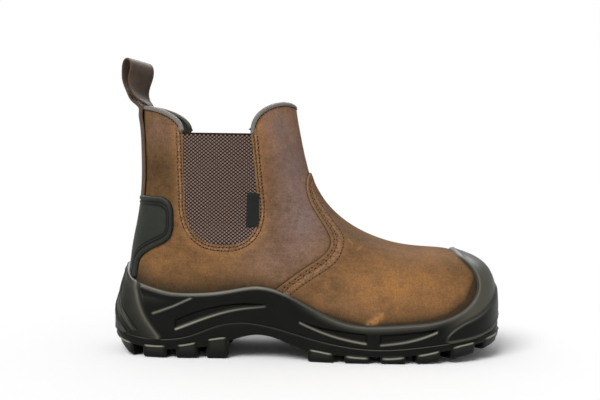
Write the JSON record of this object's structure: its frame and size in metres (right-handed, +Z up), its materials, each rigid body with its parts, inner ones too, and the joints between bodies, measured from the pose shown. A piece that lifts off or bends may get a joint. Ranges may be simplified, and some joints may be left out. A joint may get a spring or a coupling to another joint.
{
  "type": "work boot",
  "caption": "Pull-on ankle work boot in oiled leather, elastic side gores, heel pull loop, rubber toe bumper and deep-lugged moulded sole.",
  "frame": {"origin": "on the floor under the middle of the boot's box, where the sole's lugs stand", "axes": "+X toward the toe, -Y toward the outer side of the right foot, +Z up"},
  "size_m": [0.3095, 0.1139, 0.2323],
  "materials": {
    "upper_leather": "oiled, mottled",
    "gore_elastic": "woven elastic",
    "woven_tag": "woven",
    "binding_tape": "woven tape",
    "heel_patch": "moulded, satin",
    "strap_leather": "oiled",
    "midsole_foam": "moulded, satin",
    "outsole_rubber": "moulded, matt",
    "footbed_felt": "felt"
  },
  "bodies": {
    "root": {"upper": "upper_leather", "gore_outer": "gore_elastic", "gore_inner": "gore_elastic", "gore_tag": "woven_tag", "binding_front": "binding_tape", "binding_rear": "binding_tape", "heel_counter": "heel_patch", "pull_loop": "strap_leather", "midsole": "midsole_foam", "outsole": "outsole_rubber", "insole": "footbed_felt"}
  },
  "joints": []
}
